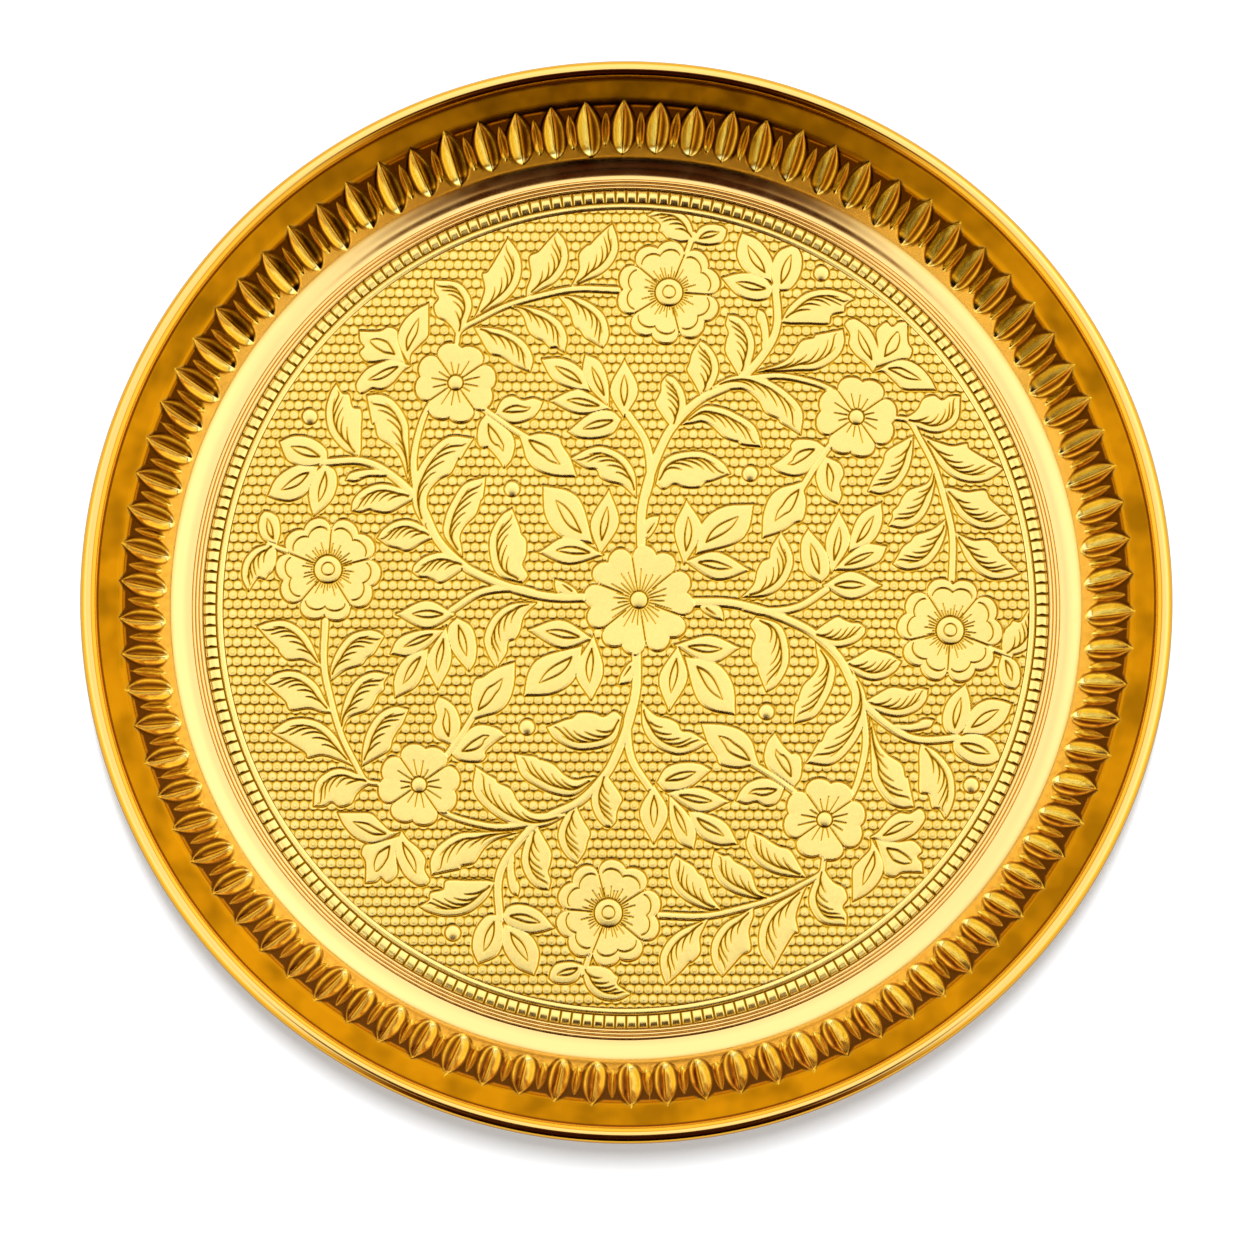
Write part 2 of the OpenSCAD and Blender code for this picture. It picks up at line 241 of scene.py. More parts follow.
def build_dish(material):
    rows = dish_profile()
    cols = FLUTES * COLS
    phi = np.arange(cols) * FULL / cols
    r, z, nr, nz, s = (rows[:, i][:, None] for i in range(5))
    fluted = ~np.isnan(s)
    place = np.where(fluted, s, -100)           # far from every flute
    wide, *wide_shape = pressed(place, phi, r, WIDE)
    slim, *slim_shape = pressed(place, phi, r, SLIM)
    push = (wide + slim) * fluted
    # tone carries the wall's painted shade and shine its painted highlights
    tone, shine = wall_shades(place, phi, wide_shape, slim_shape)
    rr, zz = r + nr * push, z + nz * push
    verts = np.stack([rr * np.cos(phi), rr * np.sin(phi), zz + 0 * phi], -1)
    body = verts[1:-1].reshape(-1, 3)           # the first and the last row are one point each
    n = len(rows) - 2
    faces = grid_faces(n, cols)
    top, under = len(body), len(body) + 1
    faces += [[top, (j + 1) % cols, j] for j in range(cols)]
    last = (n - 1) * cols
    faces += [[under, last + j, last + (j + 1) % cols] for j in range(cols)]
    verts = np.vstack([body, [[0, 0, SHEET_T], [0, 0, 0]]])
    tone, shine = (np.r_[(shade * fluted)[1:-1].ravel(), 0, 0] for shade in (tone, shine))
    return make_object("fluted_dish", verts, [f[::-1] for f in faces], material, "dish_brass",
                       tone=tone, shine=shine)


# ---- Stamped disc: one quarter of the pattern, in millimetres from the centre flower ----
# A leaf: s plain with a lens-shaped vein, f feathered with a rim line along its first edge, n small
# with one cut; then its base, its tip, and the points of its two edges from base to tip.
LEAVES = [
    ("s", (12.8, 10), (13.5, 28.5), [(10.1, 20)], [(18, 20)]),
    ("s", (16, 13), (32.5, 27.2), [(18, 22), (24, 26.5)], [(27, 16), (31, 20)]),
    ("s", (13, 11), (31.5, 8.5), [(22, 13.7)], [(22, 5.7)]),
    ("f", (29, 0.8), (40.3, 19.4), [(36, 1.2), (41, 4.5), (43.6, 10), (43, 14.5)],
     [(32.5, 4.5), (33.6, 8.5), (35, 11), (37, 12), (37.5, 15)]),
    ("f", (4.8, 33), (26, 36), [(6.5, 39), (10, 41.5), (16, 42.4), (20, 41.5), (24, 39)],
     [(7, 31.5), (10, 33), (13, 32), (17, 32), (18.8, 33.4), (21, 34)]),
    ("n", (1, 17), (5.8, 23.8), [(1.8, 22.5), (4, 23.8)], [(3, 18), (5, 21)]),
    ("s", (51.5, 5), (48, 20.3), [(47.5, 7.5), (46, 12), (46.2, 17)], [(54, 8), (53, 14)]),
    ("s", (54.5, 7.5), (56.8, 25.5), [(53, 17)], [(60, 17)]),
    ("s", (59.5, 13.7), (68.8, 27.8), [(60.3, 19), (63, 24.5)], [(66, 16.5), (69, 22)]),
    ("s", (55, 8.5), (70.3, 15.3), [(60, 13.5), (65, 16)], [(62, 8.7), (68, 11)]),
    ("s", (52, 4.2), (68.8, 4.1), [(60, 8.2)], [(60, 0.2)]),
    ("f", (9.5, 49), (8, 64.2), [(12.6, 52.5), (13.4, 56.5), (12.3, 60.5), (10, 63.5)],
     [(7.5, 51.5), (4.8, 55.8), (5.5, 58), (6.3, 60), (6.5, 62.3)]),
    ("f", (17.5, 58.5), (17.5, 74.2), [(20.5, 60.5), (22.6, 65), (22.2, 69), (20, 72.5)],
     [(15.8, 62), (13.8, 65.5), (14.5, 68), (15.3, 71)]),
    ("f", (28.5, 64), (25.4, 81.6), [(31.5, 67), (33, 73), (31.5, 78), (28.5, 81)],
     [(26.8, 67), (24.7, 71), (25, 74.5), (25.6, 76.5), (24.8, 79)]),
    ("n", (35.5, 70), (34, 83.3), [(37, 74.5), (37, 78), (36, 82)],
     [(35, 73), (35, 77), (33.6, 80.5)]),
    ("f", (12, 50), (35, 43.6), [(18, 55), (23, 55), (28, 53), (33, 49.5)],
     [(15, 50.3), (18, 50.8), (21, 49.4), (24, 46.5), (27, 45.3), (28.2, 45), (29.5, 44.2)]),
    ("f", (20, 60.5), (46, 47), [(27, 64), (35, 63.5), (42, 59.5), (46.5, 54)],
     [(25, 60), (30, 60), (34, 57), (36, 53.5), (39.7, 51.6), (40.3, 50.6), (43, 49)]),
    ("f", (33, 65.2), (58.3, 77.5), [(45, 65.5), (51, 66), (56.5, 69.5), (58.6, 73.5)],
     [(40, 67.5), (43.5, 70), (46.3, 74), (49.8, 75), (50.3, 75.8), (53, 76.4)]),
    ("f", (40.5, 79.5), (61.7, 86.2), [(43, 84), (48, 88), (54, 89), (59, 87.8)],
     [(43, 79), (48, 79), (54, 79), (55, 81.5), (58.5, 82.5), (59, 84.5)]),
    ("s", (38.5, 89.5), (23.7, 92.2), [(36, 92), (31, 93.7), (27, 93.3)],
     [(37, 86.5), (33, 85.7), (28, 87.5)]),
    ("s", (38, 91), (29.5, 105.4), [(31, 93.8), (28.2, 98), (28.3, 102)],
     [(38, 94), (38, 98), (34.5, 103)]),
    ("s", (39.5, 88.5), (45, 102.2), [(38, 92), (38, 96), (40, 100)],
     [(43, 89), (46, 93), (46.7, 98)]),
    ("f", (15.5, 103), (2.3, 110.5), [(15.5, 106), (14, 109.5), (10.5, 112), (6, 112.3)],
     [(12, 102.6), (8.5, 103.5), (7, 105), (5.8, 106), (6, 108)]),
    ("s", (15.5, 102.6), (25.2, 106.2), [(17, 106.3), (20, 107.8), (23.5, 107.5)],
     [(19, 101.7), (23, 102.2), (24.7, 104)]),
    ("s", (66.8, 65), (59.8, 80.3), [(65, 67.5), (62, 70), (60, 73), (60.2, 76), (58.8, 78.8)],
     [(68.4, 69), (68, 73), (65.8, 77.5), (62, 80.4)]),
    ("s", (67.5, 66.5), (76.8, 79.8), [(68.2, 72), (67.8, 77), (70.5, 79.6), (72.3, 78.3), (74, 79.5)],
     [(74, 68.6), (77, 69), (78, 71.5), (76.8, 74)]),
    ("s", (67, 65.2), (84.8, 60), [(72, 68), (76, 68.7), (80, 66.8), (83, 63.5)],
     [(70, 65), (73, 62.3), (75.5, 60.2), (80, 60)]),
    ("f", (75, 51.8), (91.6, 58.3), [(79, 49.3), (84, 47.7), (88, 48.8), (91, 52)],
     [(77.5, 53), (79.5, 54.8), (81, 57.5), (84, 58.5), (86.3, 57.2), (88.5, 58.3)]),
    ("f", (80.5, 47), (103.7, 37.5),
     [(83, 43), (85.5, 38.5), (89.5, 35), (94, 33.6), (98.5, 34), (102, 36)],
     [(84, 45.5), (89, 44), (93.2, 44.7), (94, 43.2), (98, 40.7)]),
    ("f", (86.5, 32), (105.8, 23.3), [(88.5, 28.5), (91, 24), (95, 21), (99, 20.2), (103, 21.2)],
     [(89, 32), (93, 30.8), (98.2, 31.3), (99.8, 28.7), (102.5, 26.3)]),
    ("f", (89.5, 19.5), (108, 7.6), [(91, 16), (93, 11.5), (96, 8), (100, 6), (104, 6.2), (107, 7.2)],
     [(92, 18.2), (95, 17), (99, 17.1), (101.5, 15), (102, 13.8), (104.5, 11.5)]),
    ("f", (78, 47), (65, 31), [(77.8, 42), (76.5, 37), (73.5, 32.5), (69, 30.2)],
     [(75, 45.3), (70.5, 42.5), (69.5, 39.5), (68.3, 37.3), (66.7, 35)]),
    ("f", (84, 38), (70.7, 21.2), [(84, 33), (82.5, 27), (79.5, 22.5), (75, 20.5)],
     [(82, 33.5), (77, 31.5), (75, 29.5), (73.7, 27), (72, 25.3), (72, 23.5)]),
    ("f", (87, 23), (72, 10.3), [(87, 19), (85, 14), (81.5, 10), (77, 8.6), (74, 9)],
     [(83, 20), (78.5, 18.5), (77, 16.7), (75, 15.3), (73.3, 12.5)]),
    ("s", (53, 43.5), (37.5, 38.3), [(50, 45.5), (45, 45.8), (43.2, 44.2), (43.3, 42.8), (40.5, 40.2)],
     [(49, 38), (47, 36), (44, 35.3), (40, 36.3)]),
    ("s", (53, 41), (56.6, 27.3), [(50.3, 36), (51.5, 31), (54, 28.5)],
     [(57, 39), (58.2, 36), (57, 33), (57.6, 30)]),
    ("s", (48.5, 34.5), (35, 17.6), [(44, 33), (40, 31.8), (37, 29), (35.3, 24)],
     [(46.8, 32), (47.5, 28), (46.5, 23), (44, 21.8), (40.5, 19.5)]),
]
# A stem: width at its start and its end, then its points
STEMS = [
    (2.6, 2.2, [(0.7, 15), (0.8, 25), (3, 35), (6.5, 44), (10, 50), (17, 57), (28, 62.5), (36, 71),
                (39.5, 79), (39, 90)]),
    (2.4, 2.0, [(2, 30), (3.3, 36), (2, 45), (-3, 53)]),
    (2.0, 1.6, [(30, 63), (40, 64), (50, 62), (57, 59)]),
    (1.4, 2.0, [(73, 52), (77, 51), (80, 46), (84, 38), (87, 28), (89, 18), (88.7, 6)]),
    (1.8, 1.8, [(55, 45), (50, 38), (46, 31.5)]),
    (1.6, 1.6, [(13.5, 99), (15.7, 105)]),
]
STUDS = [(31.6, 36), (52.2, 93.6)]
STUD_R = 2.2
# A flower: centre, radius, petals, direction of the first, boss radius, number of rays and their
# reach, and the share of the outline at which a second outline runs (0 for none). The first
# flower stands alone in the middle.
FLOWERS = [
    ((0, 0), 15.7, 6, 9, 2.4, 28, (2.9, 9.2), 0.0),
    ((61.9, 52.2), 11.7, 4, 80, 2.1, 16, (2.5, 7.4), 0.0),
    ((8.6, 88.0), 15.0, 5, 32, 3.9, 42, (4.3, 7.6), 0.81),
]
FLOWER_COPIES = (1, 4, 4)
LEAF_H, PETAL_H, BOSS_H, STUD_H = 0.35, 0.45, 0.8, 0.6
PETAL_CURL = 0.16                # how much the petals rise towards their ends
SCALE_X, SCALE_Y, SCALE_H = 2.58, 2.7, 0.2
# An engraved line: half its width at the start, what it loses by its end, and the cut's depth;
# and the depth of the trench round each raised shape
LINE_W, LINE_FADE, CUT_D, TRENCH_D = 0.06, 0.2, 0.17, 0.12
# How dark the painted shade is in the trench and the cuts, and in the scales on their edges, their
# undersides, the gaps between them and the dimples in them
TRENCH_DARK, CUT_DARK = 0.8, 0.86
SIDE_DARK, UNDER_DARK, GAP_DARK, DIMPLE_DARK = 0.5, 0.85, 0.62, 0.24
# Veins, in steps along a leaf. The lens of a plain leaf: the steps that it covers and its half
# width as a share of the leaf's. A feathered leaf's rim line: its distance in from the first edge,
# at most in millimetres and as a share, and its steps. Its hatching: first steps, length, last
# step, and reach across.
LEAF_STEPS = 33
LENS, LENS_W = slice(7, 24), 0.12
RIM_IN, RIM_SHARE, RIM_STEPS = 2.1, 0.36, slice(3, 26)
HATCHES, HATCH_L, HATCH_LAST, HATCH_IN, HATCH_SHARE = range(5, 24, 4), 8, 30, 2.9, 0.38


def smooth_line(points, steps=6):
    """A Catmull-Rom curve through the points, ends included."""
    p = np.array(points, float)
    p = np.vstack([2 * p[0] - p[1], p, 2 * p[-1] - p[-2]])
    t = np.linspace(0, 1, steps, endpoint=False)[:, None]
    out = [0.5 * ((2 * b) + (c - a) * t + (2 * a - 5 * b + 4 * c - d) * t ** 2
                  + (3 * b - a - 3 * c + d) * t ** 3)
           for a, b, c, d in zip(p, p[1:], p[2:], p[3:])]
    return np.vstack(out + [p[-2:-1]])


def quarter_turned(points, k):
    """Points turned clockwise by k quarter turns."""
    p = np.array(points, float)
    for _ in range(k):
        p = np.stack([p[:, 1], -p[:, 0]], 1)
    return p


class Relief:
    """Fields over the disc's points: distance into the raised shapes, distance to the
    nearest engraved line, and added height."""
    FAR = 2.0

    def __init__(self, x, y):
        self.x, self.y = (x - SHIFT[0]) / STRETCH[0], (y - SHIFT[1]) / STRETCH[1]
        self.into = np.full(x.shape, -self.FAR)
        self.line = np.full(x.shape, self.FAR)
        self.rise = np.zeros(x.shape)

    def near(self, points, margin):
        """The numbers of the field's points in the box of the given ones, with a margin."""
        lo, hi = points.min(0) - margin, points.max(0) + margin
        within = (self.x > lo[0]) & (self.x < hi[0]) & (self.y > lo[1]) & (self.y < hi[1])
        return np.nonzero(within)[0]

    def distance(self, at, line):
        """Distance of points from a polyline, and the share along it of the nearest place."""
        a, b = line[:-1], line[1:]
        d = b - a
        px, py = self.x[at][:, None], self.y[at][:, None]
        t = ((px - a[:, 0]) * d[:, 0] + (py - a[:, 1]) * d[:, 1]) / np.maximum((d ** 2).sum(1), 1e-9)
        t = np.clip(t, 0, 1)
        gap = np.hypot(px - a[:, 0] - t * d[:, 0], py - a[:, 1] - t * d[:, 1])
        best = gap.argmin(1)
        i = np.arange(len(at))
        return gap[i, best], (best + t[i, best]) / len(d)

    def shape(self, outline):
        """A raised shape with a closed outline."""
        at = self.near(outline, self.FAR)
        if not len(at):
            return
        gap, _ = self.distance(at, np.vstack([outline, outline[:1]]))
        a, b = outline, np.roll(outline, -1, 0)
        px, py = self.x[at][:, None], self.y[at][:, None]
        rising = (a[:, 1] > py) != (b[:, 1] > py)
        run, rise = b[:, 0] - a[:, 0], np.where(b[:, 1] == a[:, 1], 1, b[:, 1] - a[:, 1])
        cross = a[:, 0] + (py - a[:, 1]) * run / rise
        inside = (rising & (px < cross)).sum(1) % 2 == 1
        self.into[at] = np.maximum(self.into[at], np.where(inside, gap, -gap))

    def stem(self, width0, width1, line):
        """A raised line whose width changes evenly."""
        at = self.near(line, self.FAR)
        if len(at):
            gap, share = self.distance(at, line)
            half = (width0 + (width1 - width0) * share) / 2
            self.into[at] = np.maximum(self.into[at], half - gap)

    def engrave(self, line):
        """A line that thins to nothing towards its end."""
        at = self.near(line, self.FAR)
        if len(at):
            gap, share = self.distance(at, line)
            self.line[at] = np.minimum(self.line[at], gap - LINE_W + LINE_FADE * share ** 3)


def leaf_veins(kind, base, tip, first, second):
    """The engraved lines of one leaf, as polylines."""
    base, tip = np.array(base, float), np.array(tip, float)
    if kind == "n":
        return [base + (tip - base) * np.linspace(0.3, 0.7, 5)[:, None]]
    a = smooth_line([base, *first, tip])
    b = smooth_line([base, *second, tip])
    share = np.linspace(0, 1, LEAF_STEPS)

    def resample(line):
        s = np.r_[0, np.cumsum(np.hypot(*np.diff(line, axis=0).T))]
        return np.stack([np.interp(share * s[-1], s, line[:, i]) for i in (0, 1)], 1)

    a, b = resample(a), resample(b)
    if kind == "s":
        part = ((a + b) / 2)[LENS]
        swell = np.sin(np.linspace(0, math.pi, len(part)))[:, None]
        side = (a - b)[LENS]
        side = side / np.maximum(np.hypot(*side.T), 1e-6)[:, None]
        wide = LENS_W * np.hypot(*(a - b)[LEAF_STEPS // 2])
        return [part + side * swell * wide, part - side * swell * wide]
    across = b - a
    reach = np.hypot(*across.T)[:, None]
    inset = np.minimum(RIM_IN, RIM_SHARE * reach)
    rim = a + across / np.maximum(reach, 1e-6) * inset
    lines = [rim[RIM_STEPS]]
    for start in HATCHES:
        end = min(start + HATCH_L, HATCH_LAST)
        path = []
        for t in np.linspace(0, 1, 7):
            i = start + (end - start) * t
            f = int(i)
            here = rim[f] + (rim[min(f + 1, LEAF_STEPS - 1)] - rim[f]) * (i - f)
            width = float(reach[f][0])
            way = across[f] / max(width, 1e-6)
            path.append(here + way * min(HATCH_IN, HATCH_SHARE * width) * t ** 1.5)
        lines.append(np.array(path))
    return lines


def press_flower(relief, centre, radius, petals, first, boss, rays, reach, second):
    """A flower of two-lobed petals, with clefts between them, rays and a boss."""
    at = relief.near(np.array([centre], float), radius + relief.FAR)
    if not len(at):
        return
    dx, dy = relief.x[at] - centre[0], relief.y[at] - centre[1]
    r, a = np.hypot(dx, dy), np.degrees(np.arctan2(dy, dx))
    part = 360 / petals
    k = (a - first) / part
    t = 2 * (k - np.round(k))                       # -1 to 1 across one petal
    x = np.where(np.abs(t) < 0.5, (0.5 - np.abs(t)) / 0.62, (np.abs(t) - 0.5) / 0.5)
    edge = radius * (0.7 + 0.3 * np.sqrt(np.clip(1 - x ** 2, 0, 1)))
    relief.into[at] = np.maximum(relief.into[at], (edge - r) * 0.85)
    curl = PETAL_CURL * np.clip(r / radius, 0, 1) ** 2
    relief.rise[at] = np.maximum(relief.rise[at], np.where(r < edge, PETAL_H - LEAF_H + curl, 0))
    between = r * np.abs(np.sin(np.radians((1 - np.abs(t)) * part / 2)))
    cleft = np.where((r > 0.3 * radius) & (r < edge + 0.3), between, relief.FAR)
    line = np.minimum(relief.line[at], cleft)
    ray = (a - first) / (360 / rays)
    number = np.round(ray)
    long = reach[1] * (0.86 + 0.16 * np.sin(number * 2.4) + 0.06 * np.sin(number * 5.1))
    off = r * np.abs(np.sin(np.radians((ray - number) * 360 / rays))) + 0.01 + 0.012 * r
    line = np.minimum(line, np.where((r > reach[0]) & (r < long), off, relief.FAR))
    if second:
        there = (np.abs(t) < 0.86) & (r > 0.4 * radius)
        line = np.minimum(line, np.where(there, np.abs(r - second * edge), relief.FAR))
        line = np.minimum(line, np.abs(r - 1.8) + 0.05)         # a small ring on the boss
    line = np.minimum(line, np.abs(r - boss - 0.1) - 0.04)
    relief.line[at] = line
    relief.rise[at] = np.where(r < boss, BOSS_H - LEAF_H - 0.2 * (r / boss) ** 2, relief.rise[at])


def field_relief(x, y):
    """Height over the ground, in millimetres, and painted shade, the tone, of the disc's middle
    at points.
    """
    f = Relief(x, y)
    for k in range(4):                              # the four quarters
        for kind, base, tip, first, second in LEAVES:
            a, b = smooth_line([base, *first, tip]), smooth_line([base, *second, tip])
            f.shape(quarter_turned(np.vstack([a[:-1], b[::-1][:-1]]), k))
            for line in leaf_veins(kind, base, tip, first, second):
                f.engrave(quarter_turned(line, k))
        for width0, width1, line in STEMS:
            f.stem(width0, width1, quarter_turned(smooth_line(line), k))
        for place in STUDS:
            cx, cy = quarter_turned([place], k)[0]
            at = f.near(np.array([[cx, cy]]), STUD_R + f.FAR)
            gap = np.hypot(f.x[at] - cx, f.y[at] - cy)
            f.into[at] = np.maximum(f.into[at], STUD_R - gap)
            dome = (STUD_H - LEAF_H) * (1 - (gap / STUD_R) ** 2)
            f.rise[at] = np.where(gap < STUD_R, dome, f.rise[at])
    for (place, radius, petals, first, *rest), copies in zip(FLOWERS, FLOWER_COPIES):
        for k in range(copies):
            centre = quarter_turned([place], k)[0]
            press_flower(f, centre, radius, petals, first - 90 * k, *rest)
    # The raised shapes, the trench round them and the lines cut into them
    body = np.clip((f.into + 0.02) / 0.3, 0, 1)
    body = body * body * (3 - 2 * body)
    swell = 0.10 * (1 - np.exp(-np.clip(f.into, 0, None) / 1.1))
    trench = bell(f.into, -0.13, 0.19)
    cut = np.clip(1.25 * bell(np.clip(f.line, 0, None), 0, 0.19), 0, 1) * (f.into > 0.1)

    # The scales between them: coin is 0 in the middle of a scale and 1 at its edge
    row = np.floor(f.y / SCALE_Y)
    across = f.x / SCALE_X + 0.5 * (row % 2)
    place = np.floor(across)
    u, v = 2 * (across - place - 0.5), 2 * (f.y / SCALE_Y - row - 0.5)
    coin = np.hypot(u, v)
    free = np.clip((-f.into - 0.3) / 0.25, 0, 1)
    dimple = bell(coin, 0.45, 0.15)
    scale = np.sqrt(np.clip(1 - (coin / 1.15) ** 2, 0, 1)) - 0.12 * dimple

    height = body * (LEAF_H + f.rise) + swell * body + free * SCALE_H * (scale - 0.35)
    height = height - TRENCH_D * trench - CUT_D * cut
    # Painted shade on the scales: their edges, undersides and gaps, and their dimples, deeper in some
    sides = SIDE_DARK * bell(coin, 1.0, 0.12)
    under = UNDER_DARK * bell(coin, 1.04, 0.13) * np.clip(-v * 1.8 - 0.2, 0, 1)
    gaps = GAP_DARK * np.clip((coin - 1.05) / 0.1, 0, 1)
    dimple_shade = DIMPLE_DARK * (0.5 + 0.5 * chance(row, 3 + place)) * dimple
    ground = free * np.maximum.reduce([sides, under, gaps, dimple_shade])
    # The tone: painted shade in the trench, the cuts and the scales' low places
    tone = np.maximum.reduce([TRENCH_DARK * trench, CUT_DARK * cut, ground])
    return height, np.clip(tone, 0, 1)


FIELD_QUICK, FIELD_FULL = 520, 900


def build_field(material):
    """The disc's middle: a square grid of points bent to a disc, with a closed back."""
    n = FIELD_FULL
    t = np.linspace(-1, 1, n)
    u, v = np.meshgrid(t, t)
    x = FILLET_IN * u * np.sqrt(1 - v ** 2 / 2)
    y = FILLET_IN * v * np.sqrt(1 - u ** 2 / 2)
    x, y = x.ravel(), y.ravel()
    height, tone = field_relief(x, y)
    edge = np.clip((FILLET_IN - np.hypot(x, y)) / 0.4, 0, 1)
    z = GROUND_Z + height * edge
    verts = np.stack([x, y, z], 1)
    faces = grid_faces(n, n, closed_cols=False)
    i = np.arange(n)
    rim = np.r_[i, i[1:] * n + n - 1, (n - 1) * n + i[::-1][1:], i[::-1][1:-1] * n]
    low = len(verts) + np.arange(len(rim))
    verts = np.vstack([verts, np.c_[x[rim], y[rim], np.full(len(rim), DISC_Z)], [[0, 0, DISC_Z]]])
    pairs = [(k, (k + 1) % len(rim)) for k in range(len(rim))]
    faces += [[rim[k], low[k], low[m], rim[m]] for k, m in pairs]
    faces += [[low[k], len(verts) - 1, low[m]] for k, m in pairs]
    faces = [[int(v) for v in f] for f in faces]
    tone = np.r_[tone, np.zeros(len(rim) + 1)]
    return make_object("medallion_field", verts, faces, material, "disc_brass", tone=tone)


BLOCK_COLS = 14                  # columns of points for each block


def build_border(material):
    """The disc's plain fillet and its row of blocks, one closed ring."""
    cols = DENTILS * BLOCK_COLS
    a = np.arange(cols) * FULL / cols
    phase = (np.arange(cols) % BLOCK_COLS) / BLOCK_COLS
    across = np.abs(phase - 0.5) * 2                # 0 in the middle of a block, 1 between two
    block = np.clip((0.84 - across) / 0.09, 0, 1)
    # Radius, and the fillet's and the blocks' heights there, in border heights
    steps = [(FILLET_IN, 0, 0), (FILLET_IN + 0.15, 0.9, 0), (FILLET_IN + 0.9, 1.12, 0),
             (FILLET_OUT - 0.15, 0.9, 0), (FILLET_OUT, 0, 0),
             (DENTIL_IN, 0, 0), (DENTIL_IN + 0.12, 0, 0.9), (DENTIL_IN + 1.75, 0, 1.1),
             (DENTIL_OUT - 0.12, 0, 0.9), (DENTIL_OUT, 0, 0), (DENTIL_OUT + 0.2, 0.1, 0),
             (DISC_R, 0.1, 0)]
    radius, height, tone = [], [], []
    for r, fillet, dentil in steps:
        radius.append(np.full(cols, r))
        rise = BORDER_H * (fillet + dentil * block)
        height.append(GROUND_Z + rise)
        # Painted shade: darker the lower the surface, at the fillet's foot and between the blocks
        tone.append(0.8 * np.clip(1 - 1.3 * rise / BORDER_H, 0, 1) * (r < DENTIL_OUT + 0.1))
    for r in (DISC_R, FILLET_IN):
        radius.append(np.full(cols, r))
        height.append(np.full(cols, DISC_Z))
        tone.append(np.zeros(cols))
    r, z = np.array(radius), np.array(height)
    verts = np.stack([r * np.cos(a), r * np.sin(a), z], -1).reshape(-1, 3)
    faces = grid_faces(len(radius), cols, closed_rows=True)
    return make_object("medallion_border", verts, [f[::-1] for f in faces], material, "disc_brass",
                       tone=np.array(tone).ravel())


# The flat between two beads, the beads' middles, and the points over each bead
LAND = (RING_OUT - RING_LIP - 2 * BEAD_R * BEADS) / (BEADS + 1)
BEAD_MIDS = [RING_LIP + (LAND + 2 * BEAD_R) * (i + 1) - BEAD_R for i in range(BEADS)]
BEAD_POINTS = 13


def build_moulding(material):
    top = GROUND_Z + LIP_T
    r, z = [RING_FOOT, RING_FOOT, RING_LIP, RING_LIP], [DISC_Z, GROUND_Z, GROUND_Z, top]
    for mid in BEAD_MIDS:
        x, y = polar(BEAD_R, np.linspace(180, 0, BEAD_POINTS))
        r += list(mid + x)
        z += list(top + y)
    r += [RING_OUT, RING_OUT]
    z += [top, DISC_Z]
    verts, faces = lathe(r, z, RING_COLS)
    return make_object("beaded_ring", verts, [f[::-1] for f in faces], material, "moulding_brass")


# ---- Materials ----

def node_material(name):
    material = bpy.data.materials.new(name)
    material.use_nodes = True
    tree = material.node_tree
    tree.nodes.clear()
    out = tree.nodes.new("ShaderNodeOutputMaterial")
    shader = tree.nodes.new("ShaderNodeBsdfPrincipled")
    tree.links.new(shader.outputs[0], out.inputs[0])
    return material, tree, shader


def math_node(tree, operation, a, b=None):
    node = tree.nodes.new("ShaderNodeMath")
    node.operation = operation
    for i, value in enumerate((a, b)):
        if value is None:
            continue
        if isinstance(value, (int, float)):
            node.inputs[i].default_value = value
        else:
            tree.links.new(value, node.inputs[i])
    return node.outputs[0]


def ramp(tree, source, stops):
    node = tree.nodes.new("ShaderNodeValToRGB")
    node.color_ramp.interpolation = "LINEAR"
    elements = node.color_ramp.elements
    while len(elements) < len(stops):
        elements.new(0.5)
    for element, (place, colour) in zip(elements, stops):
        element.position = place
        element.color = (*colour, 1)
    tree.links.new(source, node.inputs[0])
    return node.outputs[0]


def mix_node(tree, factor, under, over, blend="MIX"):
    """Two colours mixed; the factor is a socket or a number."""
    node = tree.nodes.new("ShaderNodeMix")
    node.data_type, node.blend_type = "RGBA", blend
    if isinstance(factor, float):
        node.inputs["Factor"].default_value = factor
    else:
        tree.links.new(factor, node.inputs["Factor"])
    colours = [socket for socket in node.inputs if socket.type == "RGBA"]
    tree.links.new(under, colours[0])
    tree.links.new(over, colours[1])
    return [socket for socket in node.outputs if socket.type == "RGBA"][0]


def shaded(tree, pale, name, stops):
    """The pale colour, going through the stops' colours as the mesh's named attribute rises."""
    shade = tree.nodes.new("ShaderNodeAttribute")
    shade.attribute_name = name
    share = ramp(tree, shade.outputs["Fac"], [(0.0, (0, 0, 0)), (stops[0][0], (1, 1, 1))])
    return mix_node(tree, share, pale, ramp(tree, shade.outputs["Fac"], stops))


def noise_node(tree, coords, scale, detail):
    node = tree.nodes.new("ShaderNodeTexNoise")
    node.inputs["Scale"].default_value = scale
    node.inputs["Detail"].default_value = detail
    tree.links.new(coords.outputs["Object"], node.inputs["Vector"])
    return node.outputs["Fac"]


def finish_brass(tree, shader, coords, roughness, grain_scale, bumps):
    """Metal whose roughness, a number or a socket, varies with a fine grain; bumps are (scale,
    strength, distance)."""
    grain = tree.nodes.new("ShaderNodeMapRange")
    for end, value in (("From Min", 0.3), ("From Max", 0.7), ("To Min", 0.8), ("To Max", 1.25)):
        grain.inputs[end].default_value = value
    tree.links.new(noise_node(tree, coords, grain_scale, 4.0), grain.inputs["Value"])
    tree.links.new(math_node(tree, "MULTIPLY", grain.outputs[0], roughness), shader.inputs["Roughness"])
    last = None
    for scale, strength, distance in bumps:
        bump = tree.nodes.new("ShaderNodeBump")
        bump.inputs["Strength"].default_value = strength
        bump.inputs["Distance"].default_value = distance
        tree.links.new(noise_node(tree, coords, scale, 2.0), bump.inputs["Height"])
        if last:
            tree.links.new(last, bump.inputs["Normal"])
        last = bump.outputs[0]
    tree.links.new(last, shader.inputs["Normal"])
    shader.inputs["Metallic"].default_value = 1.0


